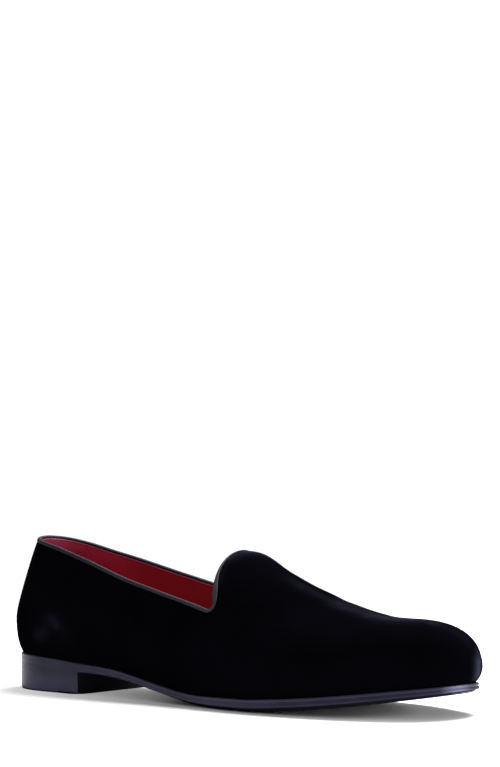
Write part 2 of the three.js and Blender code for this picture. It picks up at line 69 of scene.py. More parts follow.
# Velvet upper. One piece of black silk velvet over stiffeners, pulled over the last and fixed
# under its edge to the sole. Its top edge is bound, and a seam runs down the middle of the back.
VELVET_THICKNESS = 0.62 * MM
FOOT_HEIGHT = 40 * MM
FOOT_TUCK = 0.45 * MM
SHEET_ANGLE = math.radians(45)
MARK_ENDS = 0.04, 0.96
MARK_FADE = 0.6
NOISE_LOW, NOISE_HIGH = 0.3, 0.7
RUFFLE_SCALE, STREAK_SCALE, LAY_SCALE, PILE_SCALE = 26, 90, 120, 2600
LAY_STRETCH = (0.35, 1.0, 1.0)
VELVET_BLACK = (0.0010, 0.0009, 0.0015), (0.0017, 0.0015, 0.0027)
# A pale blue that the base colour turns to along the strokes below: painted sheen
PAINTED_SHEEN_BLUE = (0.045, 0.047, 0.08)

# Soft marks in the velvet, in millimetres: a line of points on the surface, how deep it is pressed in
# (or raised, where that is negative) and how wide it is
VELVET_MARKS = [
    # The dent on the ridge of the vamp and the flex lines that run off it to both sides
    ([(66, -6, 56), (72, -3, 55), (79, 2, 53)], 0.55, 2.4),
    ([(74, 1, 54), (79, 2, 53)], 0.35, 1.6),
    ([(58, -30, 46), (64, -14, 55), (67, 2, 57), (62, 20, 53), (56, 32, 44)], 0.35, 5.0),
    ([(92, -34, 34), (98, -16, 48), (100, 4, 51), (97, 22, 46), (92, 36, 34)], 0.3, 6.0),
    ([(44, -36, 40), (50, -24, 53)], 0.25, 3.5),
    ([(42, 34, 40), (48, 24, 52)], 0.25, 3.5),
    # The pull of the throat's corners
    ([(15, -33, 48), (30, -38, 40), (44, -43, 28)], 0.4, 3.5),
    ([(20, -34, 52), (34, -33, 48)], 0.25, 2.6),
    ([(15, 30, 48), (30, 34, 40), (44, 37, 28)], 0.4, 3.5),
    ([(20, 30, 52), (34, 30, 48)], 0.25, 2.6),
    # Slow waves along the quarters, and the front edge of the heel's stiffener
    ([(-28, -32, 56), (-32, -35, 40), (-30, -34, 26)], 0.35, 9.0),
    ([(-8, -33, 50), (-10, -38, 38), (-6, -40, 26)], -0.3, 8.0),
    ([(-30, 30, 56), (-34, 32, 40), (-32, 30, 28)], 0.35, 9.0),
    ([(-78, -29, 68), (-66, -33, 50), (-58, -33, 30)], -0.22, 3.0),
    ([(-78, 29, 68), (-66, 32, 50), (-58, 30, 30)], -0.22, 3.0),
    # Presses on the counter where the nap lies over
    ([(-117, -31, 44), (-110, -32, 38), (-103, -32, 31)], 0.3, 4.0),
    ([(-125, -29, 50), (-119, -31, 44)], 0.22, 3.2),
    # The fullness at the toe's foot
    ([(150, 21, 27), (148, 27, 23)], -0.75, 7.0),
    # The seam down the middle of the back
    ([(-147, 2, 86), (-149, 2, 70), (-151, 2, 50), (-150, 2, 30), (-147, 2, 22)], 0.4, 0.9),
]

# Strokes of painted sheen, where the base colour is lightened to stand in for the velvet's sheen: a line
# of points in millimetres, how far the stroke reaches to its sides, and how bright it is
PAINTED_SHEEN_STROKES = [
    # Along the ridge of the vamp, from the tongue to the toe
    ([(40, 1, 67), (52, 1, 62), (64, 2, 58)], 5, 0.06),
    ([(72, 4, 55), (84, 3, 52), (94, 3, 50)], 7.5, 0.17),
    ([(94, 3, 50), (106, 4, 49), (118, 3, 49)], 7.5, 0.19),
    ([(118, 3, 49), (130, 3, 48)], 5, 0.10),
    ([(137, 4, 46), (143, 6, 43), (147, 8, 39)], 4, 0.03),
    # The front of the toe
    ([(151.5, 13, 27), (151.5, 13, 23)], 4, 0.7),
    ([(151.5, 15, 31), (151.5, 14, 27)], 3.5, 0.3),
    # The top of the tongue and its outer edge
    ([(4, -8, 80), (9, 2, 82), (12, 10, 80)], 6, 0.26),
    ([(10, -27, 66), (6, -20, 74), (6, -12, 79)], 4, 0.06),
    # The counter
    ([(-106, -32, 42), (-102, -32, 39)], 4, 0.15),
    ([(-117, -31, 33), (-112, -31, 35)], 4.5, 0.09),
    ([(-112, -31, 40), (-98, -33, 34)], 8, 0.04),
]


def work_on(piece, mode="OBJECT"):
    """Makes the piece the only one that operators act on."""
    if bpy.context.object and bpy.context.object.mode != "OBJECT":
        bpy.ops.object.mode_set(mode="OBJECT")
    bpy.ops.object.select_all(action="DESELECT")
    piece.select_set(True)
    bpy.context.view_layer.objects.active = piece
    bpy.ops.object.mode_set(mode=mode)


def copy_of(name, piece_name):
    """A copy of a solid as a piece of its own, merged, with its triangles paired to quads, and left
    in edit mode."""
    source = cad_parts[name]
    piece = bpy.data.objects.new(piece_name, source.data.copy())
    bpy.context.collection.objects.link(piece)
    piece.data.transform(source.matrix_world)
    piece.data.materials.clear()
    work_on(piece, "EDIT")
    bpy.ops.mesh.select_all(action="SELECT")
    bpy.ops.mesh.customdata_custom_splitnormals_clear()
    bpy.ops.mesh.remove_doubles(threshold=1e-6)
    bpy.ops.mesh.tris_convert_to_quads(face_threshold=math.radians(40), shape_threshold=math.radians(60))
    return piece


def pick(piece, kind, test):
    """In edit mode, selects the vertices, edges or faces that pass the test, and nothing else."""
    bpy.ops.mesh.select_mode(type={"verts": "VERT", "edges": "EDGE", "faces": "FACE"}[kind])
    bpy.ops.mesh.select_all(action="DESELECT")
    mesh = bmesh.from_edit_mesh(piece.data)
    for part in getattr(mesh, kind):
        if test(part):
            part.select_set(True)
    bmesh.update_edit_mesh(piece.data)


def rows(parts, name):
    """One value of each part of a mesh, such as its place or normal, in rows of three numbers."""
    values = np.empty(len(parts) * 3)
    parts.foreach_get(name, values)
    return values.reshape(-1, 3)


def subdivide(piece, levels, rounds=3):
    """Subdivides smoothly. The points are first moved out by what the smoothing takes away, so that
    the smooth surface runs through their old places."""
    work_on(piece)
    mesh = piece.data
    modifier = piece.modifiers.new("Smooth", "SUBSURF")
    modifier.levels = modifier.render_levels = levels
    count = len(mesh.vertices)
    inner = np.ones(count, bool)
    uses = np.bincount([loop.edge_index for loop in mesh.loops], minlength=len(mesh.edges))
    inner[[end for edge in mesh.edges if uses[edge.index] == 1 for end in edge.vertices]] = False
    aim = rows(mesh.vertices, "co")
    held = aim.copy()
    for _ in range(rounds):
        shaped = piece.evaluated_get(bpy.context.evaluated_depsgraph_get())
        smooth = shaped.to_mesh()
        miss = aim - rows(smooth.vertices, "co")[:count]
        normals = rows(smooth.vertex_normals, "vector")[:count]
        shaped.to_mesh_clear()
        straight = (miss * normals).sum(axis=1, keepdims=True) * normals
        held += np.where(inner[:, None], straight, miss)
        mesh.vertices.foreach_set("co", held.ravel())
        mesh.update()
        bpy.context.view_layer.update()
    bpy.ops.object.modifier_apply(modifier=modifier.name)


def wall_sheet(piece_name, start):
    """One side of the upper's wall as a smooth sheet: the faces that run on smoothly from the one
    where start is least. Its foot is let down a little behind the sole's edge."""
    piece = copy_of("upper", piece_name)
    seed = min(bmesh.from_edit_mesh(piece.data).faces, key=start).index
    pick(piece, "faces", lambda face: face.index == seed)
    bpy.ops.mesh.faces_select_linked_flat(sharpness=SHEET_ANGLE)
    bpy.ops.mesh.select_all(action="INVERT")
    bpy.ops.mesh.delete(type="FACE")
    pick(piece, "verts", lambda vertex: vertex.is_boundary and vertex.co.z < FOOT_HEIGHT)
    bpy.ops.transform.translate(value=(0, 0, -FOOT_TUCK))
    subdivide(piece, 2)
    return piece


def thicken(piece, thickness):
    """Gives a sheet its thickness, behind the face that it shows."""
    work_on(piece)
    modifier = piece.modifiers.new("Solidify", "SOLIDIFY")
    modifier.thickness = thickness
    modifier.offset = -1
    modifier.use_even_offset = True
    bpy.ops.object.modifier_apply(modifier=modifier.name)


def measured(places, a, b):
    """How far along a stretch from a to b each place lies, as a share of it, and how far off it."""
    along = np.clip((places - a) @ (b - a) / ((b - a) @ (b - a)), 0, 1)
    return along, np.linalg.norm(places - a - along[:, None] * (b - a), axis=1)


def press(piece, marks):
    """Presses soft troughs and ridges into the piece along lines on its surface."""
    work_on(piece)
    mesh = piece.data
    places = rows(mesh.vertices, "co")
    sink = np.zeros(len(places))
    for line, depth, width in marks:
        points = [np.array(piece.closest_point_on_mesh(Vector(point) * MM)[1]) for point in line]
        lengths = [np.linalg.norm(b - a) for a, b in zip(points, points[1:])]
        nearest = np.full(len(places), np.inf)
        share = np.zeros(len(places))
        for k, (a, b) in enumerate(zip(points, points[1:])):
            along, away = measured(places, a, b)
            closer = away < nearest
            nearest[closer] = away[closer]
            share[closer] = (sum(lengths[:k]) + along[closer] * lengths[k]) / sum(lengths)
        fade = np.sin(np.clip(share, *MARK_ENDS) * math.pi) ** MARK_FADE
        sink += depth * MM * fade * np.exp(-((nearest / (width * MM)) ** 2))
    places -= sink[:, None] * rows(mesh.vertex_normals, "vector")
    mesh.vertices.foreach_set("co", places.ravel())
    mesh.update()


def paint_sheen(piece, strokes):
    """Keeps how much sheen is painted into the colour at each point, as a point attribute."""
    places = rows(piece.data.vertices, "co")
    painted_sheen = np.zeros(len(places))
    for line, reach, bright in strokes:
        points = [np.array(point) * MM for point in line]
        for a, b in zip(points, points[1:]):
            _, away = measured(places, a, b)
            painted_sheen = np.maximum(painted_sheen, bright * np.exp(-((away / (reach * MM)) ** 2)))
    piece.data.attributes.new("painted_sheen", "FLOAT", "POINT").data.foreach_set("value", painted_sheen)


velvet = wall_sheet("velvet_upper", start=lambda face: face.calc_center_median().y)
press(velvet, VELVET_MARKS)
thicken(velvet, VELVET_THICKNESS)
paint_sheen(velvet, PAINTED_SHEEN_STROKES)
bpy.ops.object.shade_smooth_by_angle(angle=math.radians(50))


def add(tree, kind, inputs=None, **settings):
    """A new node. Each input is given a value or another node's output."""
    made = tree.nodes.new("ShaderNode" + kind)
    for name, value in settings.items():
        setattr(made, name, value)
    for name, value in (inputs or {}).items():
        if isinstance(value, bpy.types.NodeSocket):
            tree.links.new(value, made.inputs[name])
        else:
            made.inputs[name].default_value = value
    return made


def mixed(tree, share, first, second):
    """A colour between two colours, which a Mix node takes at 6 and 7 and gives at 2."""
    colours = {0: share}
    for index, colour in ((6, first), (7, second)):
        colours[index] = (*colour, 1) if isinstance(colour, tuple) else colour
    return add(tree, "Mix", colours, data_type="RGBA").outputs[2]


def ranged(tree, value, painted_floor_light, high, to_low=0.0, to_high=1.0):
    """A value carried over from one range to another, and held at its ends."""
    inputs = {"Value": value, "From Min": painted_floor_light, "From Max": high, "To Min": to_low, "To Max": to_high}
    return add(tree, "MapRange", inputs).outputs[0]


def stretched(tree, value, to_low=0.0, to_high=1.0):
    """A noise, most of which lies in the middle of its range, stretched to a whole range."""
    return ranged(tree, value, NOISE_LOW, NOISE_HIGH, to_low, to_high)


def noise(tree, vector, scale, detail=2.0):
    """Soft noise from 0 to 1, with spots about 1 / scale metres across."""
    return add(tree, "TexNoise", {"Vector": vector, "Scale": scale, "Detail": detail}).outputs["Fac"]


def bumps(tree, *layers):
    """A normal from several heights, each with its own depth in metres."""
    normal = None
    for height, depth in layers:
        inputs = {"Height": height, "Distance": depth, "Strength": 1.0}
        if normal:
            inputs["Normal"] = normal
        normal = add(tree, "Bump", inputs).outputs[0]
    return normal


def new_finish(name, **constants):
    """A material and its shader, with the values that are the same all over set on the shader."""
    finish = bpy.data.materials.new(name)
    finish.use_nodes = True
    shader = finish.node_tree.nodes["Principled BSDF"]
    for socket, value in constants.items():
        socket = shader.inputs[socket.replace("_", " ")]
        socket.default_value = (*value, 1) if isinstance(value, tuple) else value
    place = add(finish.node_tree, "TexCoord").outputs["Object"]
    return finish, finish.node_tree, shader, place


def wire(tree, shader, **outputs):
    """Feeds the shader's sockets."""
    for name, output in outputs.items():
        tree.links.new(output, shader.inputs[name.replace("_", " ")])


black_velvet, tree, shader, place = new_finish(
    "black_velvet",
    Specular_IOR_Level=0.0,
    Sheen_Weight=0.03,
    Sheen_Roughness=0.2,
    Sheen_Tint=(0.55, 0.54, 1.0),
)
ruffled = ranged(tree, noise(tree, place, RUFFLE_SCALE), 0.35, 0.7)
combed = add(tree, "Mapping", {"Vector": place, "Scale": LAY_STRETCH}).outputs[0]
lay = noise(tree, combed, LAY_SCALE, 3.0)
pile = noise(tree, place, PILE_SCALE, 1.0)
# Painted sheen: along the strokes the base colour is lightened to a pale blue, in streaks, standing in for
# the velvet's sheen
painted_sheen = add(tree, "Attribute", attribute_name="painted_sheen").outputs["Fac"]
streaks = ranged(tree, noise(tree, place, STREAK_SCALE), 0.35, 0.65, 0.55, 1)
shine = add(tree, "Math", {0: painted_sheen, 1: streaks}, operation="MULTIPLY").outputs[0]
wire(
    tree,
    shader,
    Base_Color=mixed(tree, shine, mixed(tree, ruffled, *VELVET_BLACK), PAINTED_SHEEN_BLUE),
    Roughness=stretched(tree, lay, 0.82, 0.95),
    Normal=bumps(tree, (ruffled, 0.5 * MM), (lay, 0.25 * MM), (pile, 0.06 * MM)),
)
velvet.data.materials.append(black_velvet)
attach(velvet, "root")
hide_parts("upper")


# Lining. Thin red leather glued inside the velvet, over the whole inside of the shoe. Its top edge
# is turned, and swells to a bead a little below the tape, where it catches the light; the bead's paler
# pink is in part a painted highlight.
LINING_THICKNESS = 0.5 * MM
FAR_SIDE, FACING_ACROSS = 20 * MM, 0.6
GRAIN_SCALE, FINE_SCALE, TONE_SCALE = 1100, 1400, 45
# The red's dark and light tones at the heel, along the back of the collar and at the throat, and
# where along the shoe each turns into the next. Deep in the heel the red is painted darker, as painted
# shade, and along the back of the collar it is painted lighter, as painted light.
RED_PAINTED_SHADE_AT_HEEL = (0.06, 0.004, 0.026), (0.08, 0.006, 0.034)
RED_PAINTED_LIGHT_AT_BACK = (0.37, 0.032, 0.068), (0.45, 0.040, 0.084)
RED_AT_THROAT = (0.24, 0.014, 0.020), (0.29, 0.018, 0.026)
HEEL_TO_BACK = -145 * MM, -125 * MM
BACK_TO_THROAT = -115 * MM, -75 * MM
BEAD_RADIUS = 0.42 * MM
# The bead's paler pink: red leather, and in part a painted highlight
BEAD_RED_AND_PAINTED_HIGHLIGHT = (0.42, 0.05, 0.12), (0.55, 0.10, 0.19)
# The bead lies this far in from the wall's middle and this far down from its edge, and the edge lies
# clear of the binding's fold
BEAD_INWARD, BEAD_DOWN = 0.95 * MM, 1.3 * MM
EDGE_CLEARANCE = 0.3 * MM
# The binding's back is found behind this place and at the middle of the heel. Its crown is the top
# of the outline there, which leans back.
BACK_BEHIND = -100 * MM
HEEL_MIDDLE = 2 * MM
BACK_LEAN = 0.43
# Corners of the binding's outline, counted from its crown round by the outside
CROWN, OUTSIDE, UNDER, INSIDE = 0, 2, 6, 10


def inside_first(face):
    """Least for the face inside the far wall that is nearest to the middle of the shoe's length."""
    middle = face.calc_center_median()
    return abs(middle.x) - (face.normal.y < -FACING_ACROSS and middle.y > FAR_SIDE)


def straight_on(start, edge):
    """The vertices met by walking straight on over a mesh of quads until the loop closes."""
    met = [start]
    vertex = edge.other_vert(start)
    while vertex != start:
        met.append(vertex)
        beside = set(edge.link_faces)
        edge = next(other for other in vertex.link_edges if not beside & set(other.link_faces))
        vertex = edge.other_vert(vertex)
    return met


def binding_columns(mesh):
    """The binding's vertices: for each corner of its outline, a column of them round the opening."""
    back_ring = [v for v in mesh.verts if v.co.x < BACK_BEHIND and abs(v.co.y - HEEL_MIDDLE) < 1 * MM]
    crown = max(back_ring, key=lambda vertex: vertex.co.z + BACK_LEAN * vertex.co.x)
    loops = sorted((straight_on(crown, edge) for edge in crown.link_edges), key=len)
    outline = min(loops[:2], key=lambda loop: loop[1].co.x)
    course = loops[2]
    columns = []
    for vertex in outline:
        ways = [straight_on(vertex, edge) for edge in vertex.link_edges]
        ways = [way for way in ways if len(way) == len(course)]
        columns.append(min(ways, key=lambda way: (way[1].co - course[1].co).length))
    return columns


def wall_edge(columns):
    """At each step round the opening, the edge of the wall in the binding's fold, and the ways out
    from the wall and down it."""
    steps = []
    for crown, outside, under, inside in zip(*(columns[m] for m in (CROWN, OUTSIDE, UNDER, INSIDE))):
        down = (under.co - crown.co).normalized()
        out = (outside.co - inside.co).normalized()
        steps.append((under.co + down * EDGE_CLEARANCE, out, down))
    return steps


def new_group(name, inputs, outputs):
    """A node group for shaders, with the kind of each of its inputs and outputs."""
    group = bpy.data.node_groups.new(name, "ShaderNodeTree")
    for way, sockets in (("INPUT", inputs), ("OUTPUT", outputs)):
        for socket, kind in sockets.items():
            group.interface.new_socket(name=socket, in_out=way, socket_type="NodeSocket" + kind)
    entry, result = group.nodes.new("NodeGroupInput"), group.nodes.new("NodeGroupOutput")
    return group, entry.outputs, result.inputs


lining = wall_sheet("leather_lining", start=inside_first)
thicken(lining, LINING_THICKNESS)
bpy.ops.object.shade_smooth_by_angle(angle=math.radians(50))

leather_grain, given, result = new_group(
    "leather_grain", {"Vector": "Vector", "Pore Scale": "Float"}, {"Height": "Float", "Tone": "Float"}
)
pores = {"Vector": given["Vector"], "Scale": given["Pore Scale"]}
cells = add(leather_grain, "TexVoronoi", pores, feature="SMOOTH_F1").outputs["Distance"]
fine = noise(leather_grain, given["Vector"], FINE_SCALE)
height = add(leather_grain, "Math", {0: cells, 1: fine}, operation="ADD").outputs[0]
leather_grain.links.new(height, result["Height"])
leather_grain.links.new(noise(leather_grain, given["Vector"], TONE_SCALE, 4.0), result["Tone"])


def grain(tree, place, scale):
    """The leather grain in a material."""
    made = add(tree, "Group", node_tree=leather_grain)
    tree.links.new(place, made.inputs["Vector"])
    made.inputs["Pore Scale"].default_value = scale
    return made.outputs["Height"], made.outputs["Tone"]


def axis(tree, place, name):
    """One coordinate of a place."""
    return add(tree, "SeparateXYZ", {0: place}).outputs[name]


red_leather, tree, shader, place = new_finish("red_leather", Specular_IOR_Level=0.2)
height, tone = grain(tree, place, GRAIN_SCALE)
forward = axis(tree, place, "X")
past_heel, past_back = ranged(tree, forward, *HEEL_TO_BACK), ranged(tree, forward, *BACK_TO_THROAT)
# The red is painted darker deep in the heel and lighter along the back of the collar: painted shade and
# painted light
reds = [
    mixed(tree, past_heel, shaded_at_heel, mixed(tree, past_back, painted_at_back, at_throat))
    for shaded_at_heel, painted_at_back, at_throat in zip(RED_PAINTED_SHADE_AT_HEEL, RED_PAINTED_LIGHT_AT_BACK, RED_AT_THROAT)
]
wire(
    tree,
    shader,
    Base_Color=mixed(tree, stretched(tree, tone), *reds),
    Roughness=stretched(tree, tone, 0.42, 0.54),
    Normal=bumps(tree, (height, 0.05 * MM)),
)
lining.data.materials.append(red_leather)

guide = copy_of("topline_binding", "guide")
work_on(guide)
mesh = bmesh.new()
mesh.from_mesh(guide.data)
course = [edge - out * BEAD_INWARD + down * BEAD_DOWN for edge, out, down in wall_edge(binding_columns(mesh))]
mesh.free()
bpy.data.meshes.remove(guide.data)
bead_line = bpy.data.curves.new("lining_bead", "CURVE")
bead_line.dimensions = "3D"
bead_line.bevel_depth = BEAD_RADIUS
bead_line.bevel_resolution = 2
bead_line.resolution_u = 4
spline = bead_line.splines.new("BEZIER")
spline.bezier_points.add(len(course) - 1)
for knot, point in zip(spline.bezier_points, course):
    knot.co = point
    knot.handle_left_type = knot.handle_right_type = "AUTO"
spline.use_cyclic_u = True
bead = bpy.data.objects.new("lining_bead", bead_line)
bpy.context.collection.objects.link(bead)
work_on(bead)
bpy.ops.object.convert(target="MESH")
bpy.ops.object.shade_smooth()
turned_edge, tree, shader, place = new_finish("turned_edge_with_painted_highlight", Specular_IOR_Level=0.5)
height, tone = grain(tree, place, GRAIN_SCALE)
wire(
    tree,
    shader,
    Base_Color=mixed(tree, tone, *BEAD_RED_AND_PAINTED_HIGHLIGHT),
    Roughness=stretched(tree, tone, 0.3, 0.42),
    Normal=bumps(tree, (height, 0.03 * MM)),
)
bead.data.materials.append(turned_edge)
lining.select_set(True)
bpy.context.view_layer.objects.active = lining
bpy.ops.object.join()
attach(lining, "root")
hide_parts("upper")


# Topline binding. A slate ribbed silk tape, folded over the edge of the opening and sewn through
# with hidden stitches, all round the collar and over the tongue.
RIB_PITCH = 0.55 * MM
CLOTH_SCALE = 300
# The tape's dark and light tones at the tongue, along the collar and at the back, and where along
# the shoe each turns into the next. Along the collar and most at the back the tape is painted darker,
# as painted shade.
SLATE_AT_TONGUE = (0.012, 0.0115, 0.017), (0.021, 0.020, 0.029)
SLATE_PAINTED_SHADE_AT_COLLAR = (0.006, 0.0055, 0.009), (0.011, 0.010, 0.015)
SLATE_PAINTED_SHADE_AT_BACK = (0.002, 0.002, 0.003), (0.004, 0.0035, 0.006)
TONGUE_TO_COLLAR = -10 * MM, -80 * MM
COLLAR_TO_BACK = -125 * MM, -138 * MM

# The folded tape's outline, in millimetres off the wall's middle and down from the wall's edge
TAPE_OUTLINE = [
    (0, -0.5), (0.76, -0.36), (1.1, 0.1), (1.22, 1.65), (0.86, 1.7), (0.66, 0.05),
    (0, -0.1), (-0.66, 0.05), (-0.82, 0.95), (-1.2, 0.85), (-1.12, 0.1), (-0.78, -0.4),
]
# At the throat's upright its outer leg is longer by this many millimetres, most at this height
OUTER_LEG = 3, 4
UPRIGHT_LONGER = 1.6
UPRIGHT_HEIGHT, UPRIGHT_SPREAD = 61 * MM, 6.5 * MM
UPRIGHT_FROM, UPRIGHT_OVER = -6 * MM, 14 * MM
# As it climbs the tongue, its outer leg gets shorter by this share, and some of its corners move in
# by these millimetres
CLIMB_AHEAD = -20 * MM
CLIMB_FROM, CLIMB_OVER = 66 * MM, 15 * MM
CLIMB_SHORTER = 0.45
CLIMB_SLIMMER = {1: 0.2, 2: 0.2, 3: 0.3}


def clamped(value):
    """A value held between 0 and 1."""
    return min(1, max(0, value))


binding = copy_of("topline_binding", "topline_tape")
work_on(binding)
mesh = bmesh.new()
mesh.from_mesh(binding.data)
columns = binding_columns(mesh)
course, corners = columns[CROWN], len(columns)
lengths = [0.0]
for a, b in zip(course, course[1:] + course[:1]):
    lengths.append(lengths[-1] + (b.co - a.co).length)
spot = {vertex: (k, m) for m, column in enumerate(columns) for k, vertex in enumerate(column)}
sheet = mesh.loops.layers.uv.new("tape")
for face in mesh.faces:
    ks, ms = zip(*(spot[corner.vert] for corner in face.loops))
    for corner, k, m in zip(face.loops, ks, ms):
        k = len(course) if k == 0 and max(ks) > 1 else k
        m = corners if m == 0 and max(ms) > 1 else m
        corner[sheet].uv = (lengths[k], m / corners)
for k, (edge, out, down) in enumerate(wall_edge(columns)):
    climb = clamped((edge.z - CLIMB_FROM) / CLIMB_OVER) if edge.x > CLIMB_AHEAD else 0
    upright = clamped((edge.x - UPRIGHT_FROM) / UPRIGHT_OVER)
    longer = UPRIGHT_LONGER * upright * math.exp(-(((edge.z - UPRIGHT_HEIGHT) / UPRIGHT_SPREAD) ** 2))
    for m, (off, deep) in enumerate(TAPE_OUTLINE):
        off -= climb * CLIMB_SLIMMER.get(m, 0)
        if m in OUTER_LEG:
            deep = (deep + longer) * (1 - climb * CLIMB_SHORTER)
        columns[m][k].co = edge + (out * off + down * deep) * MM
mesh.to_mesh(binding.data)
mesh.free()
subdivide(binding, 2, rounds=2)
bpy.ops.object.shade_smooth()

slate_tape, tree, shader, place = new_finish(
    "slate_tape", Specular_IOR_Level=0.2, Specular_Tint=(0.85, 0.85, 1.0)
)
run = axis(tree, add(tree, "TexCoord").outputs["UV"], "X")
turns = add(tree, "Math", {0: run, 1: 2 * math.pi / RIB_PITCH}, operation="MULTIPLY").outputs[0]
ribs = ranged(tree, add(tree, "Math", {0: turns}, operation="SINE").outputs[0], -1, 1)
cloth = noise(tree, place, CLOTH_SCALE, 3.0)
forward = axis(tree, place, "X")
past_tongue, past_collar = ranged(tree, forward, *TONGUE_TO_COLLAR), ranged(tree, forward, *COLLAR_TO_BACK)
# The tape is painted darker along the collar and most at the back: painted shade
slates = [
    mixed(tree, past_tongue, at_tongue, mixed(tree, past_collar, shaded_at_collar, painted_at_back))
    for at_tongue, shaded_at_collar, painted_at_back in zip(SLATE_AT_TONGUE, SLATE_PAINTED_SHADE_AT_COLLAR, SLATE_PAINTED_SHADE_AT_BACK)
]
wire(
    tree,
    shader,
    Base_Color=mixed(tree, stretched(tree, cloth), *slates),
    Roughness=stretched(tree, cloth, 0.55, 0.7),
    Normal=bumps(tree, (ribs, 0.035 * MM), (cloth, 0.08 * MM)),
)
binding.data.materials.append(slate_tape)
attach(binding, "root")
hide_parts("topline_binding")


# Sock. A red leather sock glued over the insole board, with its edge pared thin where it meets the
# lining. It is cupped along its middle, as a foot leaves it.
LONG_EDGE = 12 * MM
SOCK_CUTS = 9
SOCK_CUP = 0.7 * MM
CUP_FLAT, CUP_RISE = 12 * MM, 20 * MM
FACING_UP_OR_DOWN, FACING_UP = 0.6, 0.9


def across_sock(edge):
    """Whether an edge runs across the sock's top or underside."""
    tilts = [abs(face.normal.z) for face in edge.link_faces]
    return edge.calc_length() > LONG_EDGE and min(tilts) > FACING_UP_OR_DOWN


sock = copy_of("insole", "leather_sock")
pick(sock, "edges", across_sock)
bpy.ops.mesh.subdivide(number_cuts=SOCK_CUTS)
work_on(sock)
for vertex in sock.data.vertices:
    if vertex.normal.z > FACING_UP:
        rise = clamped((abs(vertex.co.y) - CUP_FLAT) / CUP_RISE)
        vertex.co.z -= SOCK_CUP * (1 - rise ** 2)
bpy.ops.object.shade_smooth_by_angle(angle=math.radians(40))
sock.data.materials.append(red_leather)
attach(sock, "root")
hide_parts("insole")


# Outsole. Stiff bend leather, closely trimmed. Its edge is stained blue black, waxed and ironed, with
# a light crease run round under the top, and its underside is stained black.
HEEL_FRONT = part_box("heel")[1][0]
FACING = 0.8
FLAT_MARGIN = 1.2 * MM
# Over the heel and a little ahead of it the edge is pressed flush with its lower border, which fades
# out ahead, and the flat that stands on the heel is let down onto it
SEAT_AHEAD = 7 * MM
SEAT_SINK = 0.25 * MM
FLUSH_FADE = 12 * MM
# Up the edge, the next vertex of a column lies no farther than this to the side
COLUMN_STEP = 1.1 * MM
# Ahead of the heel the lower border is rounded by this much, and the row above it by a share of it
FLANK_ROUND = 2.4 * MM
ROUND_FADE = 60 * MM
ROUND_ABOVE = 0.35
STREAK_STRETCH = (0.12, 0.12, 1.0)
IRON_SCALE, MARK_SCALE, PORE_SCALE = 700, 60, 700
# The edge's dark and light tones: at the heel and near the floor there, at the waist and at the
# forepart, and a painted highlight at the tip of the toe. Then where along the shoe, up from the floor
# and away from the tip each turns into the next. At the heel the edge is painted darker at the top, as
# painted shade, and paler near the floor, as painted light from the floor.
EDGE_AT_HEEL_PAINTED_SHADE = (0.006, 0.006, 0.018), (0.010, 0.010, 0.026)
EDGE_PAINTED_LIGHT_AT_FLOOR = (0.045, 0.045, 0.090), (0.062, 0.062, 0.120)
EDGE_AT_WAIST = (0.033, 0.032, 0.058), (0.046, 0.044, 0.078)
EDGE_AT_FORE = (0.014, 0.014, 0.028), (0.022, 0.022, 0.042)
EDGE_PAINTED_HIGHLIGHT = (0.10, 0.10, 0.165)
HEEL_TO_WAIST = HEEL_FRONT, -60 * MM
WAIST_TO_FORE = 30 * MM, 90 * MM
ABOVE_TO_FLOOR = 12 * MM, 2 * MM
# The painted highlight at the tip of the toe lies around this place
PAINTED_HIGHLIGHT_AT_TIP = Vector((149, -4, 15)) * MM
AROUND_TO_TIP = 11 * MM, 3 * MM
UNDERSIDE_BLACK = (0.008, 0.008, 0.011), (0.014, 0.014, 0.018)


def broad(face, way):
    """Whether a face is one of the broad flat ones that look up (way 1) or down (way -1)."""
    return face.normal.z * way > FACING and max(edge.calc_length() for edge in face.edges) > LONG_EDGE


def column_over(vertex):
    """The vertices met by walking up the sole's edge from one of its underside."""
    column = [vertex]
    while True:
        top = column[-1]
        close = [v for e in top.link_edges for v in e.verts if (v.co.xy - top.co.xy).length < COLUMN_STEP]
        above = max(close, key=lambda v: v.co.z)
        if above == top:
            return column
        column.append(above)


def beyond(vertex, group):
    """The vertex joined to this one that isn't in its group."""
    return next(edge.other_vert(vertex) for edge in vertex.link_edges if edge.other_vert(vertex) not in group)


def sharpen(piece, test):
    """Keeps the edges that pass the test sharp when the piece is subdivided."""
    pick(piece, "edges", test)
    bpy.ops.transform.edge_crease(value=1)


def support(piece, test, margin):
    """Runs a loop of edges just inside each flat face, which holds its edge when it is subdivided."""
    pick(piece, "faces", test)
    bpy.ops.mesh.inset(thickness=margin, use_even_offset=True)


def stand(piece):
    """Presses flat what would be under the floor."""
    for vertex in piece.data.vertices:
        vertex.co.z = max(vertex.co.z, 0)


outsole = copy_of("outsole", "leather_outsole")
mesh = bmesh.from_edit_mesh(outsole.data)
flat = [vertex for vertex in mesh.verts if any(broad(face, -1) for face in vertex.link_faces)]
seat_rim = [vertex for vertex in flat if vertex.co.x < HEEL_FRONT + SEAT_AHEAD]
for vertex in flat:
    column = column_over(vertex)[:-1]
    flush = clamped(1 - (vertex.co.x - HEEL_FRONT - SEAT_AHEAD) / FLUSH_FADE)
    for part in column:
        part.co.xy += (column[-1].co.xy - part.co.xy) * flush
for vertex in seat_rim:
    vertex.co.z -= SEAT_SINK
for vertex in flat:
    if vertex not in seat_rim:
        above = beyond(vertex, flat)
        fade = min(1, (vertex.co.x - HEEL_FRONT) / ROUND_FADE)
        inward = -vertex.normal.xy.normalized() * fade
        vertex.co.xy += inward * FLANK_ROUND
        above.co.xy += inward * FLANK_ROUND * ROUND_ABOVE
        above.co.z += FLANK_ROUND * ROUND_ABOVE * fade
bmesh.update_edit_mesh(outsole.data)
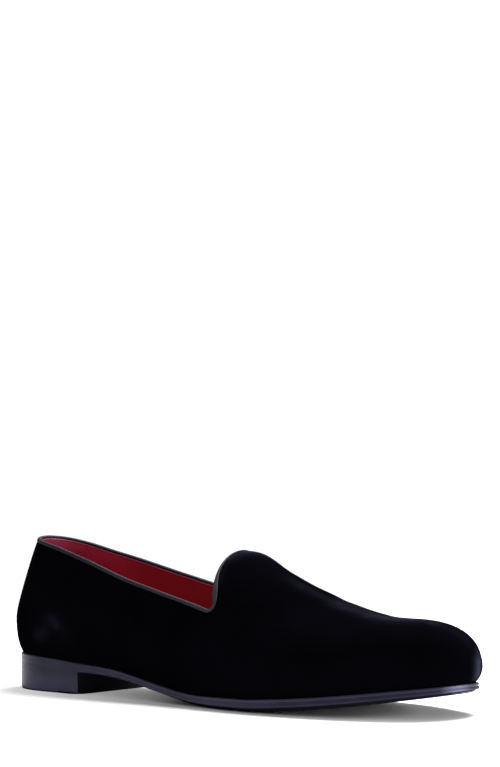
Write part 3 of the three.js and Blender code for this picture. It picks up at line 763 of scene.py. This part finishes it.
seat_places = {tuple(vertex.co) for vertex in seat_rim}


def seat_edge(edge):
    """Whether an edge runs round the flat that stands on the heel."""
    facing = [face.normal.z for face in edge.link_faces]
    return all(tuple(v.co) in seat_places for v in edge.verts) and min(facing) < -FACING < max(facing)


sharpen(outsole, seat_edge)
for way in (-1, 1):
    support(outsole, lambda face: broad(face, way), FLAT_MARGIN)
subdivide(outsole, 2, rounds=1)
stand(outsole)
bpy.ops.object.shade_smooth_by_angle(angle=math.radians(50))

waxed_edge, given, result = new_group(
    "waxed_edge", {"Vector": "Vector"}, {"Streaks": "Float", "Marks": "Float"}
)
drawn = add(waxed_edge, "Mapping", {"Vector": given["Vector"], "Scale": STREAK_STRETCH}).outputs[0]
waxed_edge.links.new(noise(waxed_edge, drawn, IRON_SCALE, 3.0), result["Streaks"])
waxed_edge.links.new(noise(waxed_edge, given["Vector"], MARK_SCALE, 3.0), result["Marks"])


def waxed(name):
    """A stained and waxed leather edge, with streaks from the iron. It is bluer at the heel, painted
    darker at the heel's top as painted shade, paler near the floor as painted light, and lighter at the
    tip of the toe as a painted highlight."""
    finish, tree, shader, place = new_finish(name, Specular_IOR_Level=0.24, Specular_Tint=(0.7, 0.7, 1.0))
    made = add(tree, "Group", node_tree=waxed_edge)
    tree.links.new(place, made.inputs["Vector"])
    streaks, marks = made.outputs
    forward = axis(tree, place, "X")
    past_heel, past_waist = ranged(tree, forward, *HEEL_TO_WAIST), ranged(tree, forward, *WAIST_TO_FORE)
    # The edge is painted paler near the floor (painted light) and at the tip of the toe (painted highlight)
    painted_floor_light = ranged(tree, axis(tree, place, "Z"), *ABOVE_TO_FLOOR)
    away = add(tree, "VectorMath", {0: place, 1: PAINTED_HIGHLIGHT_AT_TIP}, operation="DISTANCE").outputs["Value"]
    painted_tip_highlight = ranged(tree, away, *AROUND_TO_TIP)
    tones = []
    for above, below, waist, fore in zip(EDGE_AT_HEEL_PAINTED_SHADE, EDGE_PAINTED_LIGHT_AT_FLOOR, EDGE_AT_WAIST, EDGE_AT_FORE):
        heel_tone = mixed(tree, painted_floor_light, above, below)
        sole_tone = mixed(tree, past_waist, waist, fore)
        tones.append(mixed(tree, painted_tip_highlight, mixed(tree, past_heel, heel_tone, sole_tone), EDGE_PAINTED_HIGHLIGHT))
    wire(
        tree,
        shader,
        Base_Color=mixed(tree, stretched(tree, marks), *tones),
        Roughness=stretched(tree, streaks, 0.3, 0.42),
        Normal=bumps(tree, (streaks, 0.04 * MM), (marks, 0.2 * MM)),
    )
    return finish


def stained(name, dark, light):
    """Black stained leather that isn't polished, for the faces that look down or forwards."""
    finish, tree, shader, place = new_finish(name, Specular_IOR_Level=0.0)
    height, tone = grain(tree, place, PORE_SCALE)
    wire(
        tree,
        shader,
        Base_Color=mixed(tree, stretched(tree, tone), dark, light),
        Roughness=stretched(tree, tone, 0.55, 0.75),
        Normal=bumps(tree, (height, 0.06 * MM)),
    )
    return finish


outsole.data.materials.append(waxed("waxed_sole_edge"))
outsole.data.materials.append(stained("stained_underside", *UNDERSIDE_BLACK))
for face in outsole.data.polygons:
    if face.normal.z < -FACING:
        face.material_index = 1
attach(outsole, "root")
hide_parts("outsole")


# Heel. Lifts of leather pressed and pegged into one block, with the edge sanded flush with the
# sole, stained blue black and waxed, and a plain black front. Its lowest millimetre is painted black:
# painted shade where it meets the floor.
SQUARE, FACING_FRONT = 0.95, 0.9
HEEL_MARGIN = 0.4 * MM
PAINTED_SHADOW_HEIGHT = 1.0 * MM
# The inner half of the front slants forwards, by this much over half of the heel's width
FRONT_SLANT, FRONT_HALF = 1.6 * MM, 30 * MM
FRONT_BAND = 2 * MM
FRONT_BLACK = (0.008, 0.008, 0.011), (0.013, 0.013, 0.017)
# Painted shade: the black of the heel's lowest millimetre, where it meets the floor
PAINTED_SHADOW_BLACK = (0.002, 0.002, 0.002), (0.004, 0.004, 0.005)


def flat_border(edge, way):
    """Whether an edge runs round the heel's front (way 0, along X) or its seat (way 2, along Z)."""
    facing = [face.normal[way] for face in edge.link_faces]
    return min(facing) < SQUARE < max(facing)


heel = copy_of("heel", "leather_heel")
mesh = bmesh.from_edit_mesh(heel.data)
seat = {vertex for face in mesh.faces if face.normal.z > SQUARE for vertex in face.verts}
for vertex in seat:
    vertex.co.xy = beyond(vertex, seat).co.xy
for vertex in mesh.verts:
    if vertex.co.x > HEEL_FRONT - FRONT_BAND and vertex.co.y > 0:
        vertex.co.x += FRONT_SLANT * vertex.co.y / FRONT_HALF
bmesh.update_edit_mesh(heel.data)
for way in (0, 2):
    sharpen(heel, lambda edge: flat_border(edge, way))
for way, sign in ((2, -1), (2, 1), (0, 1)):
    support(heel, lambda face: face.normal[way] * sign > SQUARE, HEEL_MARGIN)
subdivide(heel, 3, rounds=1)
stand(heel)
bpy.ops.object.shade_smooth_by_angle(angle=math.radians(35))
heel.data.materials.append(waxed("waxed_heel_edge"))
heel.data.materials.append(stained("stained_heel_front", *FRONT_BLACK))
heel.data.materials.append(stained("painted_contact_shadow", *PAINTED_SHADOW_BLACK))
for face in heel.data.polygons:
    if face.normal.x > FACING_FRONT:
        face.material_index = 1
    # The faces of the lowest millimetre take the painted shade
    elif face.center.z < PAINTED_SHADOW_HEIGHT:
        face.material_index = 2
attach(heel, "root")
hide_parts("heel")


# Studio. A white table and a white surround. The table glows a little in a patch beside the heel:
# painted light, which lightens the shadows there. A large soft box over and behind the shoe is the main
# light, so the velvet stays black to the front and only its upper edges and the toe catch a sheen, to
# which the painted sheen in the velvet's colour adds.
SURROUND_LIGHT, SURROUND_SEEN = 0.42, 1.05
FLOOR_SIZE = 12
FLOOR_WHITE = (0.92, 0.92, 0.92), (0.94, 0.94, 0.94)
FLOOR_FADE = 0.3, 0.9
# Painted light: the table glows in a patch around this place, which lightens the shadows beside the heel
GLOW_PATCH_CENTRE = Vector((-0.17, -0.05, 0))
GLOW_PATCH_REACH, GLOW_PATCH_SHARE = (0.16, 0.02), (0, 0.55)


def surround(tree):
    """The strength of the surround: one for what it lights and one for what the camera sees of it."""
    seen = add(tree, "LightPath").outputs["Is Camera Ray"]
    return ranged(tree, seen, 0, 1, SURROUND_LIGHT, SURROUND_SEEN)


def soft_box(name, place, aim, size, power):
    """A rectangular soft light."""
    light = bpy.data.lights.new(name, "AREA")
    light.shape = "RECTANGLE"
    light.size, light.size_y = size
    light.energy = power
    lamp = bpy.data.objects.new(name, light)
    lamp.location = place
    lamp.rotation_mode = "QUATERNION"
    lamp.rotation_quaternion = (Vector(aim) - Vector(place)).to_track_quat("-Z", "Y")
    bpy.context.collection.objects.link(lamp)


bpy.ops.object.select_all(action="DESELECT")
bpy.ops.mesh.primitive_plane_add(size=FLOOR_SIZE, location=(0, 0, 0))
floor = bpy.context.object
floor.name = "floor"
white_floor, tree, shader, place = new_finish("white_floor", Specular_IOR_Level=0.0, Roughness=0.9)
wire(tree, shader, Base_Color=mixed(tree, noise(tree, place, 3), *FLOOR_WHITE))
glow = add(tree, "Emission", {"Strength": surround(tree)}).outputs[0]
away = add(tree, "VectorMath", {0: place}, operation="LENGTH").outputs["Value"]
# The patch of painted light beside the heel
aside = add(tree, "VectorMath", {0: place, 1: GLOW_PATCH_CENTRE}, operation="DISTANCE").outputs["Value"]
shares = {0: ranged(tree, away, *FLOOR_FADE), 1: ranged(tree, aside, *GLOW_PATCH_REACH, *GLOW_PATCH_SHARE)}
share = add(tree, "Math", shares, operation="MAXIMUM").outputs[0]
blend = add(tree, "MixShader", {0: share, 1: shader.outputs[0], 2: glow}).outputs[0]
tree.links.new(blend, tree.nodes["Material Output"].inputs["Surface"])
floor.data.materials.append(white_floor)

world = bpy.data.worlds.new("studio")
bpy.context.scene.world = world
world.use_nodes = True
background = world.node_tree.nodes["Background"]
world.node_tree.links.new(surround(world.node_tree), background.inputs["Strength"])
background.inputs["Color"].default_value = (1, 1, 1, 1)

soft_box("main_light", place=(-0.1, 0.85, 1.85), aim=(0, 0, 0), size=(1.0, 0.9), power=95)
soft_box("low_light", place=(1.35, 0.65, 0.32), aim=(0.1, 0, 0.03), size=(0.8, 0.5), power=17)
